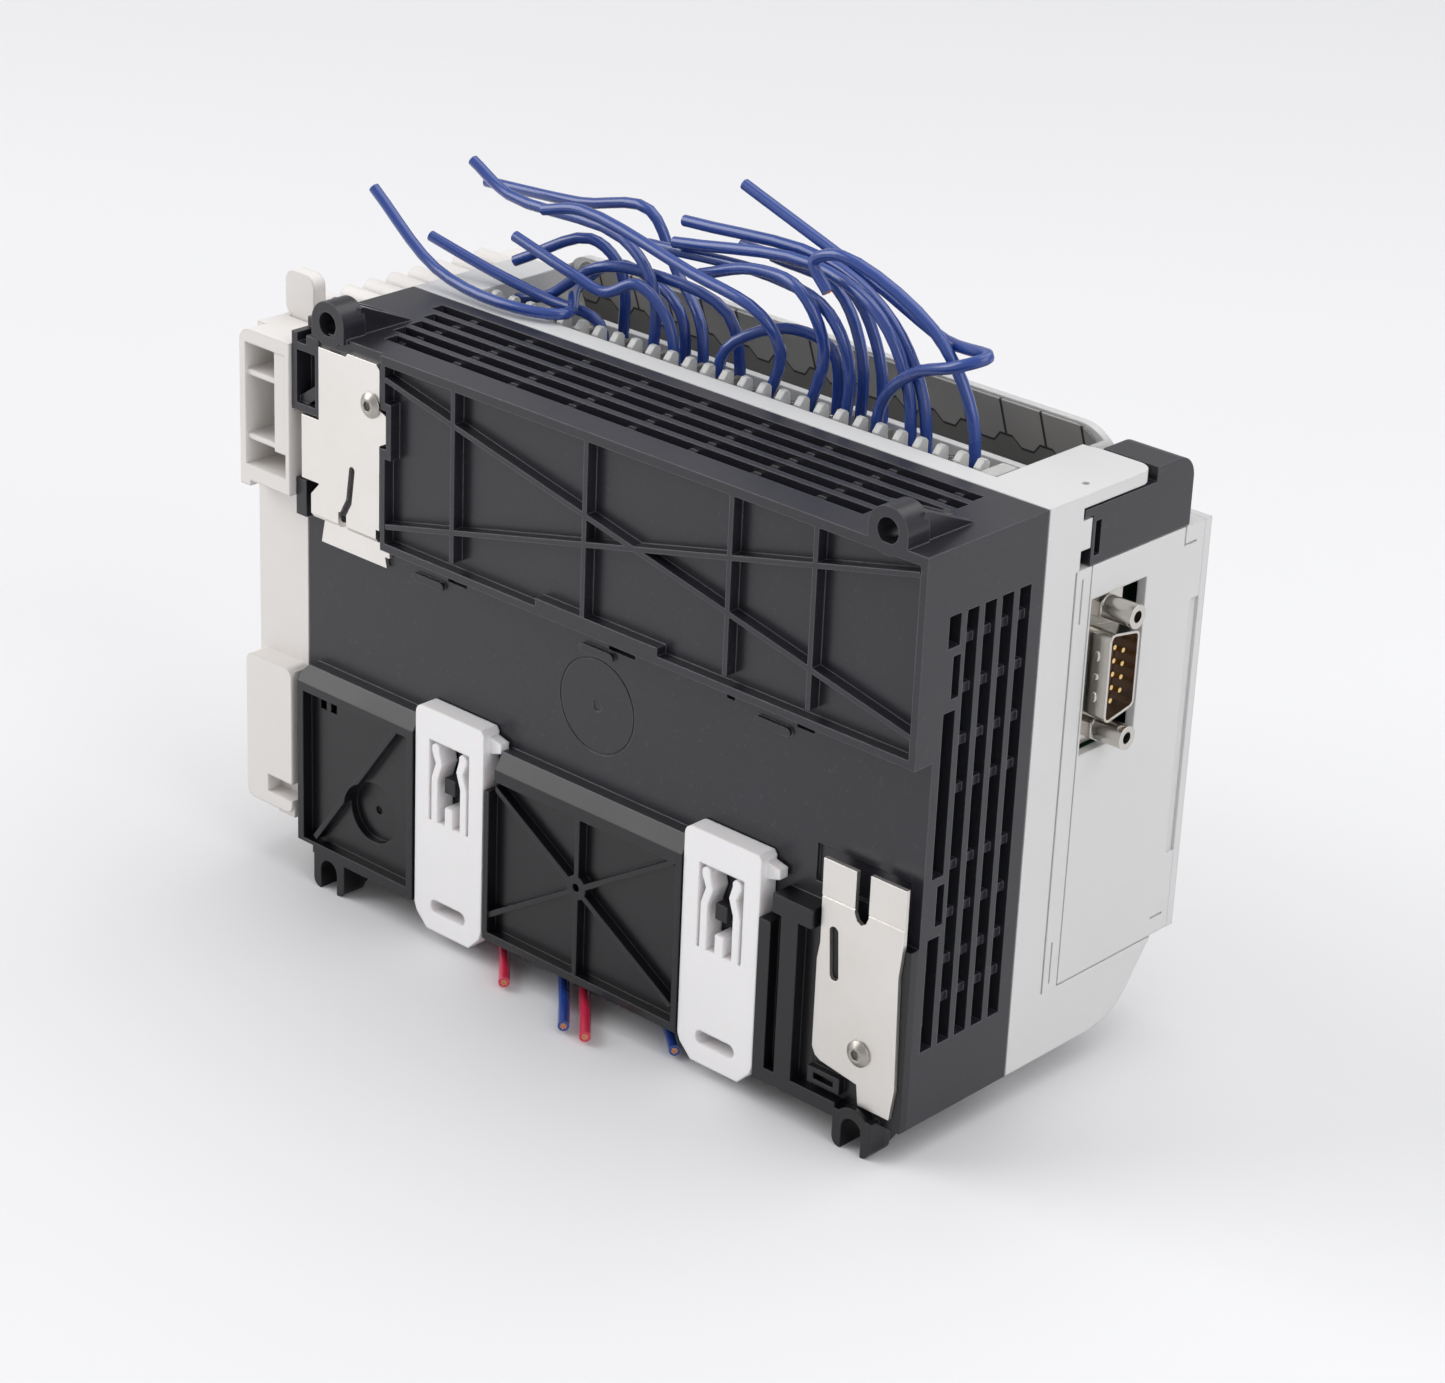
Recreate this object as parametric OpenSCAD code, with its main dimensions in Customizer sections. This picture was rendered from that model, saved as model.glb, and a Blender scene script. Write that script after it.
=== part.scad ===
// Compact programmable controller base unit with its plug-in processor module and end cap.
// Every sub-part is drawn in the unit's own mounting frame: x across the unit, y forward from
// the plane that meets the panel, z up from the underside of the housing.

/* [Unit] */
// Width of the base unit
base_w = 168; // [168:1:172]
// Height of the housing without the mounting ears
body_h = 118; // [118:0.5:119]
// Depth from the mounting plane to the front of the closed doors
unit_d = 87; // [87:1:92]
// Width of the end cap on the left side
cap_w = 15.5; // [12:0.5:20]
// Thickness of the moulded walls
wall = 2.5; // [2:0.25:3]

/* [Mounting] */
// Distance between the two screw holes along the top or the bottom
ear_pitch = 147; // [140:1:150]
// Diameter of the mounting screw holes
ear_hole_d = 5; // [4:0.1:5.5]
// Distance that the ears' holes stand beyond the housing
ear_reach = 2.3; // [2:0.1:3]
// Travel of the rail latches
latch_travel = 7; // [5:0.5:8]

/* [Vents] */
// Spacing of the rows of vent slots
vent_pitch = 5; // [4.8:0.1:5.2]
// Width of one vent slot
vent_w = 3.4; // [2.5:0.1:3.6]

/* [Terminals] */
// Spacing of the clamp plates along a row
clamp_pitch = 10; // [9:0.5:11]
// Clamp plates in each row
clamp_count = 13; // [10:1:13]
// Diameter over the insulation of the field wires
wire_d = 2.4; // [1.8:0.1:2.6]

/* [Hidden] */
$fn = 48;

half_w = base_w / 2;
cap_left = -half_w - cap_w;
jack_reach = 6;
ear_r = 4.7;
floor_gap = ear_reach + ear_r;
rail_floor = 5;
panel_bottom = 76.5;
panel_top = body_h - 2;
block_top = 42.6;
pocket_d = 2.5;
seam_y = 34.2;
well_rear = 40;
well_front = 66;
well_floor = 88;
well_left = -73;
well_right = 67;
clamp_floor = 104;
row_b_y = 55.5;
hinge_y = 80.5;
hinge_r = 0.85;
hinge_z = 88;
access_x = 61.9;
access_y = 85.6;
dial_x = [47, 56];
dial_z = 57;
latch_x = [-36.5, 38.7];
port_y = 56.3;
port_z = 80;
jack_pitch = 25;
left_screw = [-59.8, 106.7];
right_screw = [74, 13.8];
lever_y = 14;
seat_a = 108.4;
seat_b = 107.6;
fin_pitch = clamp_pitch / 2;

// Routes of the wires in the upper terminals, in the part's own frame
route_a = [[58, 7, 111], [57, 7, 130], [47, 6, 145], [26, 3, 155], [19, 3, 152], [23, 3, 147]];
route_b = [[46, 8, 111], [44, 8, 130], [34, 10, 142], [14, 13, 149], [-24, 13, 148]];
route_c = [[43, 6, 111], [42, 6, 131], [34, 6, 144], [14, 9, 149], [-22, 8, 145]];
route_d = [
    [35, 6, 111], [36, 5, 127], [46, 2, 137], [58, 0, 142], [62, 4, 144], [47, 10, 142],
    [24, 15, 147], [-11, 16, 158]
];
route_e = [[28, 16, 111], [26, 16, 132], [17, 16, 144], [-12, 17, 145]];
route_f = [[21, 17, 111], [20, 18, 130], [11, 20, 141], [-7, 21, 143]];
route_g = [[24, 7, 111], [27, 6, 132], [22, 5, 142], [3, 9, 144], [-31, 10, 142]];
route_h = [[15, 6, 111], [15, 6, 115], [22, 4, 135], [17, 2, 146], [2, 5, 146], [-13, 6, 141]];
route_j = [
    [4, 6, 111], [4, 6, 115], [11, 4, 131], [8, 1, 139], [-11, 1, 143], [-42, 2, 148], [-52, 1, 146]
];
route_k = [
    [-8, 7, 111], [-8, 7, 115], [-6, 7, 127], [5, 12, 133], [14, 16, 130], [16, 16, 115], [16, 16, 111]
];
route_l = [
    [-9, 16, 111], [-12, 14, 131], [-33, 12, 135], [-44, 9, 134], [-57, 8, 125], [-66, 8, 122]
];
route_m = [[-18, 6, 111], [-21, 6, 129], [-29, 5, 135], [-36, 3, 132], [-44, 2, 134], [-61, 2, 138]];
route_n = [[-27, 7, 111], [-28, 9, 133], [-39, 11, 141], [-73, 12, 142], [-84, 12, 147]];
route_o = [
    [-25, 16, 111], [-28, 17, 127], [-50, 20, 131], [-53, 13, 127], [-42, -2, 127],
    [-52, -7, 127], [-76, -6, 129], [-95, -6, 142]
];
route_p = [[-39, 6, 111], [-41, 7, 123], [-55, 6, 125], [-70, 4, 128], [-86, 2, 132]];
route_q = [[-43, 16, 111], [-44, 16, 132], [-52, 15, 137], [-69, 10, 129]];
route_r = [
    [-20, 16, 111], [-23, 18, 125], [-34, 22, 133], [-42, 22, 144], [-62, 22, 141], [-90, 22, 139]
];

// Routes of the wires that leave the lower terminals and lie under the unit
route_lower_a = [[-45, 7, 21], [-44, 6, 5], [-38, -18, 2], [-11, -47, 2]];
route_lower_b = [[-30, 7, 21], [-29, 6, 5], [-22, -16, 2], [10, -51, 2]];
route_lower_c = [[-20, 7, 21], [-19, 6, 5], [-12, -20, 2], [16, -51, 2]];
route_lower_d = [[0, 7, 21], [0, 6, 5], [2, -14, 2], [4, -31, 2]];
route_lower_e = [[10, 7, 21], [10, 6, 5], [13, -24, 2], [32, -42, 2]];

// Moves the mounting frame to the part's origin, under the middle of the whole unit
module placed() {
    translate([(cap_w - jack_reach) / 2, -unit_d / 2, floor_gap]) children();
}

// A block between two opposite corners
module block(low, high) {
    translate(low) cube(high - low);
}

// A flat outline in x and z, given depth from y0 to y1
module depth(y0, y1) {
    translate([0, y1, 0]) rotate([90, 0, 0]) linear_extrude(y1 - y0) children();
}

// A flat outline in y and z, given width from x0 to x1
module width(x0, x1) {
    translate([x0, 0, 0]) rotate([90, 0, 90]) linear_extrude(x1 - x0) children();
}

// A flat outline in x and y, given height from z0 to z1
module height(z0, z1) {
    translate([0, 0, z0]) linear_extrude(z1 - z0) children();
}

// A flat strip of width w between two points
module strip(from, to, w) {
    run = to - from;
    translate(from) rotate(atan2(run[1], run[0])) translate([0, -w / 2]) square([norm(run), w]);
}

// A strip with round ends
module slot(from, to, w) {
    strip(from, to, w);
    translate(from) circle(d = w);
    translate(to) circle(d = w);
}

// A flat rectangle with round corners
module rounded(low, high, r) {
    translate([low[0] + r, low[1]]) square([high[0] - low[0] - 2 * r, high[1] - low[1]]);
    translate([low[0], low[1] + r]) square([high[0] - low[0], high[1] - low[1] - 2 * r]);
    for (x = [low[0] + r, high[0] - r], y = [low[1] + r, high[1] - r]) translate([x, y]) circle(r = r);
}

// Turns what it holds upside down about the middle of the housing
module mirrored() {
    translate([0, 0, body_h]) mirror([0, 0, 1]) children();
}

function unit(v) = v / norm(v);
function heading(route, i) =
    unit(route[min(i + 1, len(route) - 1)] - route[max(i - 1, 0)]);
function across(way) = unit(cross(way, abs(way[1]) > 0.9 ? [1, 0, 0] : [0, 1, 0]));
function ring(route, i, r, sides) =
    let (way = heading(route, i), side = across(way), up = cross(side, way))
    [for (k = [0:sides - 1]) route[i] + r * (cos(360 * k / sides) * side + sin(360 * k / sides) * up)];

// One field wire, swept along the points of its route
module wire(route, tint) {
    sides = 8;
    rings = len(route);
    points = [for (i = [0:rings - 1]) each ring(route, i, wire_d / 2, sides)];
    skin = [
        for (i = [0:rings - 2], k = [0:sides - 1])
            let (n = (k + 1) % sides)
            each [
                [i * sides + k, (i + 1) * sides + k, (i + 1) * sides + n],
                [i * sides + k, (i + 1) * sides + n, i * sides + n]
            ]
    ];
    start = [[for (k = [0:sides - 1]) k]];
    finish = [[for (k = [sides - 1:-1:0]) (rings - 1) * sides + k]];
    color(tint) polyhedron(points, concat(skin, start, finish), convexity = 4);
}

module blue_wire(route) {
    wire(route, "royalblue");
}

module red_wire(route) {
    wire(route, "crimson");
}

// Openings of the five rows of slots in a top wall
module top_vents() {
    starts = [-63.7, -66.5, -67, -68.6, -71.4];
    ends = [62.5, 64, 71.8, 72.3, 71.7];
    for (i = [0:4]) {
        near = 7.2 + i * vent_pitch;
        block([starts[i], near, body_h - wall - 1], [ends[i], near + vent_w, body_h + 1]);
    }
}

// Bars that cross the slots of a top wall just below its surface
module top_vent_bars() {
    for (x = [-62:16:66])
        block([x - 0.9, rail_floor + 1, body_h - wall], [x + 0.9, seam_y - 1, body_h - 1.2]);
}

// Openings of the five rows of slots in the right wall
module side_vents() {
    lows = [15.7, 52, 98.3];
    highs = [39.5, 85.6, 104.7];
    for (i = [0:2])
        block([half_w - wall - 1, 7.2, lows[i]], [half_w + 1, 7.2 + vent_w, highs[i]]);
    for (i = [1:4]) {
        near = 7.2 + i * vent_pitch;
        block([half_w - wall - 1, near, 15.7], [half_w + 1, near + vent_w, 104.6]);
    }
    for (z = [41.7, 88])
        block([half_w - wall - 1, 9, z], [half_w + 1, 11.2, z + 8.5]);
}

// Bars that cross the slots of the right wall just below its surface
module side_vent_bars() {
    for (z = [24.7, 32.8, 42.5, 52.5, 68.2, 78, 88.5, 98.4])
        block([half_w - wall, 12, z - 0.9], [half_w - 1.2, seam_y - 1, z + 0.9]);
}

// Outline of one mounting ear, its barrel centred on the screw hole
module ear(closed) {
    difference() {
        union() {
            rotate([-90, 0, 0]) cylinder(r = ear_r, h = 6);
            block([-ear_r, 0, -ear_reach - 1], [ear_r, 6, 0]);
            if (!closed) depth(0, 6) rounded([-ear_r, -1], [ear_r, ear_r], 2);
            width(-4.2, 4.2) polygon([[5, -ear_reach - 1], [22, -ear_reach - 1], [6, 3.4], [5, 3.4]]);
        }
        translate([0, -1, 0]) rotate([-90, 0, 0]) cylinder(d = ear_hole_d, h = 30);
        if (!closed) block([-ear_hole_d / 2, -1, 0], [ear_hole_d / 2, 30, 10]);
    }
}

// Raised ribbed frame above the rail recess
module upper_panel() {
    left = -57;
    base = 78.2;
    difference() {
        union() {
            block([left, 0, panel_bottom], [half_w, rail_floor + 1, body_h]);
            block([-76, 1, 80], [left, rail_floor + 1, body_h]);
        }
        block([left + 1.2, -1, base], [-12.7, pocket_d, panel_top]);
        block([-12.7, -1, base + 1.7], [20, pocket_d, panel_top]);
        block([20, -1, base], [half_w - 1.6, pocket_d, panel_top]);
        block([left - 1, 3.2, panel_bottom - 1], [half_w - 8, 5, panel_bottom + 2.7]);
    }
    block([left + 1, 0, 96.4], [left + 3, pocket_d, 108.2]);
    depth(0, pocket_d) {
        for (x = [-36.3, 0, 37.3, 58]) strip([x, base + 1.8], [x, panel_top], 1.1);
        strip([-55.7, 113.2], [82.4, 82.7], 1.1);
        strip([-55.5, 81.9], [82.3, 114.3], 1.1);
    }
}

// Cut that slopes the top edge of a raised block from x0 to x1
module top_bevel(x0, x1) {
    width(x0, x1) polygon([[-1, block_top - 4.9], [2.9, block_top + 1], [-1, block_top + 1]]);
}

// Raised ribbed block at the lower left, with its round well
module lower_left_block() {
    difference() {
        depth(0, rail_floor + 1) polygon([
            [-82.4, 2.2], [-77.7, 2.2], [-77.7, 0.6], [-47, 0.6], [-47, block_top], [-81, block_top],
            [-82.4, block_top - 1.6]
        ]);
        top_bevel(-83, -46);
        block([-80.6, -1, 3], [-48.8, pocket_d, 37.4]);
        translate([-61.5, -1, 14.9]) rotate([-90, 0, 0]) cylinder(r = 6.8, h = 5.2);
        translate([-61.5, -1, 14.9]) rotate([-90, 0, 0]) cylinder(d = 1.8, h = 10);
        for (x = [-77.8, -74.6]) block([x, 1, 33.6], [x + 1.8, 8, 37.6]);
    }
    difference() {
        depth(0.4, pocket_d) strip([-52, 38.5], [-77.5, 4], 1.2);
        translate([-61.5, -1, 14.9]) rotate([-90, 0, 0]) cylinder(r = 6.8, h = 10);
    }
}

// Raised ribbed block between the two latches
module middle_block() {
    difference() {
        block([-26, 0, 0], [28.5, rail_floor + 1, block_top]);
        top_bevel(-27, 29);
        block([-24.6, -1, 1.8], [27, pocket_d, 36.6]);
    }
    difference() {
        depth(0.4, pocket_d) {
            strip([0, 1], [0, 37.2], 1.2);
            strip([-25, 36], [26.5, 5], 1.2);
            strip([-25, 5.5], [26, 36.5], 1.2);
            translate([0, 21.2]) circle(r = 2.6);
        }
        translate([0, -1, 21.2]) rotate([-90, 0, 0]) cylinder(d = 1.8, h = 3);
    }
}

// Narrow raised block and edge frame at the lower right
module lower_right_block() {
    difference() {
        block([48.9, 0, -1], [62, rail_floor + 1, 40]);
        block([51.8, -1, 2], [54.4, pocket_d, 36]);
        block([58.6, -1, 2], [63, pocket_d, 36]);
    }
    block([62, 0, -1], [70, 3, 2]);
    difference() {
        block([62, 1, 3.2], [70, 3, 6.6]);
        block([63.5, 0, 4.2], [68.5, 4, 5.6]);
    }
    block([62, 2.6, 0], [half_w, rail_floor + 1, 38.5]);
}

// Small frame and foot beside the left ground plate
module side_catch() {
    difference() {
        block([-half_w, 0.6, 99.4], [-76, rail_floor + 1, 116]);
        block([-82.6, -1, 101], [-77, 4.6, 112.4]);
        block([-82.4, -1, 114], [-79.6, 7, 117]);
    }
    depth(1.6, rail_floor) strip([-83, 100.4], [-77, 104.6], 2.4);
    block([-half_w, 1.6, 76], [-81, rail_floor + 1, 84]);
}

// Blind hole for the screw of a ground plate
module screw_hole(spot) {
    translate([spot[0], -1, spot[1]]) rotate([-90, 0, 0]) cylinder(d = 2, h = 9.5);
}

module rear_housing() {
    color("dimgray") placed() difference() {
        union() {
            difference() {
                block([-half_w, rail_floor, 0], [half_w, seam_y, body_h]);
                block([-half_w + wall, rail_floor + wall, wall], [half_w - wall, seam_y + 1, body_h - wall]);
                top_vents();
                mirrored() top_vents();
                side_vents();
                depth(rail_floor - 1, rail_floor + 0.3) translate([0, 59.6]) {
                    difference() {
                        circle(r = 10.2);
                        circle(r = 9.8);
                    }
                    circle(r = 1.2);
                }
                block([2.7, 0, 72.6], [9.8, 6.4, 75]);
                block([58.2, 0, 43.4], [81.2, 5.8, 51.3]);
                for (span = [[-42.3, -36.8], [33.8, 35.9], [51.5, 56]])
                    block([span[0], 0, 72.8], [span[1], 6, 73.6]);
            }
            top_vent_bars();
            mirrored() top_vent_bars();
            side_vent_bars();
            upper_panel();
            lower_left_block();
            middle_block();
            lower_right_block();
            side_catch();
            depth(rail_floor - 0.8, rail_floor + 1)
                for (x = [-47.5, 0, 46]) slot([x - 3.6, 71.2], [x + 3.6, 71.2], 1.8);
            for (x = latch_x)
                block([x - 1.5, 0.6, 28.6], [x + 1.5, rail_floor + 1, 32]);
            for (x = [74.4, 74.4 - ear_pitch]) {
                translate([x, 0, body_h + ear_reach]) ear(true);
                translate([x, 0, -ear_reach]) rotate([0, 180, 0]) ear(false);
            }
        }
        screw_hole(left_screw);
        screw_hole(right_screw);
        block([-57.2, -1, 98.4], [-55.3, 1.2, 106.6]);
        for (x = latch_x) block([x + 9.5, -1, 40.6 - latch_travel], [x + 13.4, rail_floor, block_top + 0.5]);
    }
}

// Pin along x that a terminal door turns on
module hinge_pin(x0, x1) {
    width(x0, x1) translate([hinge_y, hinge_z]) circle(r = hinge_r);
}

// Lug beside a terminal door's left end, with its pin
module hinge_lug() {
    block([-half_w, 77.5, 84], [-80.4, 82.4, hinge_z + 1.9]);
    hinge_pin(-81, -73);
}

// Moulded walls of one terminal well, drawn for the upper side
module terminal_well() {
    block([-half_w, seam_y + 0.3, body_h - wall], [half_w, well_rear, body_h]);
    block([well_left - wall, well_rear - 2, well_floor], [well_right + wall, well_rear, body_h]);
    block([well_left - wall, well_rear, well_floor], [well_right + wall, well_front, well_floor + wall]);
    block([well_left - wall, well_rear, well_floor], [well_left, well_front, body_h]);
    block([well_right, well_rear, well_floor], [well_right + wall, well_front, body_h]);
    block([-half_w, well_rear, body_h - wall], [well_left - wall, well_front, body_h]);
    block([well_left - wall, well_front - 2, hinge_z - 5], [well_right, well_front, clamp_floor + 6]);
}

// Side of the cover, drawn in y and z, its lower front corner swept upwards
module cover_side() {
    polygon([
        [seam_y + 0.3, 0], [61, 0], [66, 0.8], [69.6, 2.8], [72.4, 5.6], [79, 14.4], [48.7, 14.4],
        [48.7, 103], [44.8, 103], [44.8, 107], [47.6, 107], [47.6, 113], [44.8, 113],
        [44.8, body_h - 1], [seam_y + 0.3, body_h - 1]
    ]);
}

// Sloping wall under the swept corner, drawn in y and z
module cover_chin() {
    polygon([
        [60, 0], [61, 0], [66, 0.8], [69.6, 2.8], [72.4, 5.6], [79, 14.4], [76, 14.4], [70.6, 7.2],
        [68.2, 5], [65.2, 3.2], [60, wall]
    ]);
}

module base_cover() {
    side = half_w - wall;
    end = well_right + wall;
    color("gainsboro") placed() difference() {
        union() {
            terminal_well();
            mirrored() terminal_well();
            hinge_lug();
            mirrored() hinge_lug();
            height(body_h - wall, body_h) rounded([well_right, seam_y + 0.3], [half_w, 66.6], 4);
            block([end, well_rear, 0], [half_w, 60, wall]);
            block([-half_w, seam_y + 0.3, 0], [-half_w + wall, well_front, body_h]);
            width(side, half_w) cover_side();
            width(end, half_w) cover_chin();
            block([-half_w, well_front - 2, 30], [-4.8, well_front, hinge_z + 1]);
            difference() {
                block([-half_w, well_front, 33], [-4.8, 80, 85]);
                block([-half_w + wall, well_front - 3, 33 + wall], [-4.8 - wall, 80 - wall, 85 - wall]);
            }
        }
        block([half_w - 1, 43.8, 14.4], [half_w + 1, 44.3, 103]);
        for (z = [16, 92]) block([half_w - 0.5, 46, z], [half_w + 1, 46.4, z + 9]);
        translate([80, 50, body_h - 3]) cylinder(d = 1.5, h = 4);
    }
}

// Outline of the dark corner cover in y and z: low under the base cover, then a round hump
module corner_outline() {
    r = 5;
    polygon([
        [45.4, 113.4], [48, 113.4], [48, 103.3], [79, 103.3], [79, body_h - r],
        [79 - r, body_h], [67.2, body_h], [67.2, 115], [45.4, 115]
    ]);
    translate([79 - r, body_h - r]) circle(r = r);
}

module corner_cover() {
    color("dimgray") placed() difference() {
        width(71, half_w) corner_outline();
        block([70, 51, 102], [half_w - 2, 77, 113]);
        block([70, 69.2, 102], [half_w - 2, 77, body_h - 2]);
        block([half_w - 3, 48.8, 105], [half_w + 1, 50.6, 112]);
    }
}

module processor_housing() {
    cheek_left = 67.2 + 2.6;
    cheek_rear = 49;
    front = 84.5;
    t = 2;
    color("gainsboro") placed() difference() {
        union() {
            block([cheek_left, cheek_rear, 14.7], [half_w, front, 103]);
            block([-4.5, 66.3, 34], [cheek_left + 1, front, 85]);
            hinge_pin(59, cheek_left + 1);
            mirrored() hinge_pin(59, cheek_left + 1);
        }
        block([cheek_left + t, cheek_rear - 1, 14.7 + t], [half_w - t, front + 1, 103 - t]);
        block([-4.5 + t, 66.3 + t, 34 + t], [cheek_left + 3, front + 1, 85 - t]);
        block([half_w - t - 1, 49.5, 63.8], [half_w + 1, 66.6, 96]);
        block([half_w - 0.6, 82, 32], [half_w + 1, front + 1, 87]);
        block([10, 65, 44], [50, 69, 75]);
        block([half_w - 0.5, 78, 99.4], [half_w + 1, 78.4, 104]);
        block([half_w - 0.5, 78, 99], [half_w + 1, 82, 99.4]);
        block([half_w - 0.5, 78.6, 18.4], [half_w + 1, 82.4, 18.8]);
    }
}

module processor_front() {
    color("gainsboro") placed() difference() {
        union() {
            block([-4.5, 84.5, 34], [half_w, unit_d - 0.5, 85]);
            block([71, 84.5, 14.7], [half_w, unit_d - 0.5, 103]);
        }
        block([40, 83, 52], [64, unit_d + 1, 80]);
        translate([16, 83, 46]) rotate([-90, 0, 0]) cylinder(r = 6.2, h = 6);
        block([2, 83, 62], [30, 85.2, 78]);
        translate([access_x, access_y, 50.8]) cylinder(r = 0.56, h = 30.4);
    }
}

module access_door() {
    color("gainsboro") placed() union() {
        block([40.6, 85, 52.4], [61.6, unit_d, 79.6]);
        translate([access_x, access_y, 52.4]) cylinder(r = 0.9, h = 27.2);
        translate([access_x, access_y, 51.2]) cylinder(r = 0.5, h = 29.6);
        block([60.6, 85, 52.4], [access_x, 86.5, 79.6]);
        block([41.4, 84, 64], [43, 85, 68]);
    }
}

// Leaf, cheeks and hinge barrels of one terminal door
module door_body(left, right) {
    width(left, right) polygon([
        [hinge_y + 0.2, hinge_z + 0.4], [hinge_y + 1.9, hinge_z], [81.6, 104], [76.6, body_h + 0.4],
        [74.6, body_h + 0.4], [79.6, 104]
    ]);
    for (x = [left, right - 1.6])
        width(x, x + 1.6) polygon([[67, 112], [79.6, 104], [76.6, body_h + 0.4], [67, body_h + 0.4]]);
    for (x = [left, right - 8])
        width(x, x + 8) {
            translate([hinge_y, hinge_z]) circle(r = 1.9);
            translate([hinge_y, hinge_z]) square([1.9, 2.6]);
        }
}

// One terminal door, drawn for the upper side and closed
module door_shape(left, right) {
    difference() {
        intersection() {
            door_body(left, right);
            depth(60, 90) rounded([left, hinge_z - 12], [right, body_h + 0.4], 7);
        }
        width(left - 1, right + 1) translate([hinge_y, hinge_z]) circle(r = hinge_r + 0.05);
    }
}

module upper_door() {
    color("gainsboro") placed() door_shape(-80, 66.4);
}

module lower_door() {
    color("gainsboro") placed() mirrored() door_shape(-80, 66.4);
}

// Printed card that lies inside a terminal door
module label_shape() {
    intersection() {
        width(-77, 64) polygon([[79.2, 103.7], [79.5, 104], [74.5, body_h], [74.2, body_h - 0.3]]);
        depth(60, 90) rounded([-77, 90], [64, body_h], 6);
    }
}

module upper_label() {
    color("slategray") placed() label_shape();
}

module lower_label() {
    color("slategray") placed() mirrored() label_shape();
}

// One terminal block, drawn for the upper side: a raised rear row and a lower front row
module terminal_shape() {
    left = well_left + 0.3;
    right = well_right - 0.3;
    block([left, well_rear + 0.3, well_floor + wall], [right, well_front - 2.2, clamp_floor]);
    block([left, well_rear + 0.3, clamp_floor], [right - 5, 43.4, 116.4]);
    block([left, 43.4, clamp_floor], [right, 48, seat_a]);
    block([left, row_b_y - 2.2, clamp_floor], [right, row_b_y + 2.2, seat_b]);
    for (i = [0:clamp_count - 1]) {
        x = left + 9.5 + i * clamp_pitch;
        block([x - 0.6, row_b_y - 2.2, clamp_floor], [x + 0.6, row_b_y + 2.2, clamp_floor + 8]);
    }
}

module upper_terminals() {
    color("dimgray") placed() terminal_shape();
}

module lower_terminals() {
    color("dimgray") placed() mirrored() terminal_shape();
}

// Middles and seats of the clamp plates, the front row staggered by half the pitch
function clamp_spots() = [
    for (i = [0:clamp_count - 1])
        each [
            [well_left + 9.8 + i * clamp_pitch, 46, seat_a],
            [well_left + 14.8 + i * clamp_pitch, row_b_y, seat_b]
        ]
];

// Clamp plates of one terminal block, tilted on their screws
module clamp_shape() {
    for (spot = clamp_spots())
        if (spot[0] + 5 < well_right)
            translate(spot + [0, 0, 2.2]) rotate([0, -14, 0]) difference() {
                block([-3.9, -1.9, 0], [3.9, 1.9, 1]);
                block([-1.6, -0.5, -1], [2.6, 0.5, 2]);
            }
}

module clamp_plates() {
    color("silver") placed() {
        clamp_shape();
        mirrored() clamp_shape();
    }
}

// Screws of one terminal block
module screw_shape() {
    for (spot = clamp_spots())
        if (spot[0] + 5 < well_right)
            translate(spot + [0.5, 0, 0]) cylinder(r = 1.3, h = 1.9);
}

module terminal_screws() {
    color("silver") placed() {
        screw_shape();
        mirrored() screw_shape();
    }
}

// Clear comb over the rear clamps of one terminal block, with its box-shaped right end
module guard_shape() {
    left = well_left + 0.5;
    right = well_right - 1;
    block([left, 43.7, 113], [right - 3, 46.6, 113.8]);
    for (x = [left + 1.8:fin_pitch:right - 6])
        width(x - 0.8, x + 0.8) polygon([
            [43.7, 113.4], [46.6, 113.4], [46.6, 117.4], [46, body_h], [45, body_h], [43.7, 116.6]
        ]);
    block([right - 3.6, 41, seat_a + 0.2], [right, 47.6, body_h - 0.4]);
}

module terminal_guards() {
    color("whitesmoke", 0.5) placed() {
        guard_shape();
        mirrored() guard_shape();
    }
}

// Outline of one rail latch, centred across its width
module latch_outline() {
    rounded([-9.9, 3], [9.9, 46.2], 2);
    polygon([
        [-9.9, 8], [-9.9, 0.6], [-9.2, -1.2], [-6.2, -4.2], [6.2, -4.2], [9.2, -1.2], [9.9, 0.6], [9.9, 8]
    ]);
    translate([3.9, 40]) square([6, 6.2]);
}

// Window of a rail latch around its two sprung legs
module latch_window() {
    difference() {
        translate([-5.8, 21.2]) square([11.6, 18.1]);
        for (side = [-1, 1]) {
            polygon([
                [side * 3.3, 21], [side * 5.1, 21], [side * 5.1, 31], [side * 3.9, 34.5],
                [side * 5, 37], [side * 5, 38.2], [side * 4.4, 38.8], [side * 3.4, 38.8],
                [side * 2.9, 38.2], [side * 2.9, 37.2], [side * 2.1, 34.5], [side * 3.3, 31]
            ]);
        }
        translate([-1.1, 21]) square([2.2, 4.4]);
    }
}

module latch(x) {
    color("whitesmoke") placed() translate([x, 0, 0]) {
        depth(2.2, 4.4) polygon([[9.8, 40.8], [13, 41.8], [13, 43.8], [9.8, 44.6]]);
        difference() {
            depth(0.3, 4.7) difference() {
                latch_outline();
                latch_window();
                slot([-3.6, 1.6], [3.6, 1.6], 3);
            }
            depth(-1, 6) polygon([[8.6, 47], [10.1, 45], [10.1, 47]]);
            block([-9.2, 2.4, 5], [9.2, 5, 19]);
        }
    }
}

module left_latch() {
    latch(latch_x[0]);
}

module right_latch() {
    latch(latch_x[1]);
}

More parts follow.
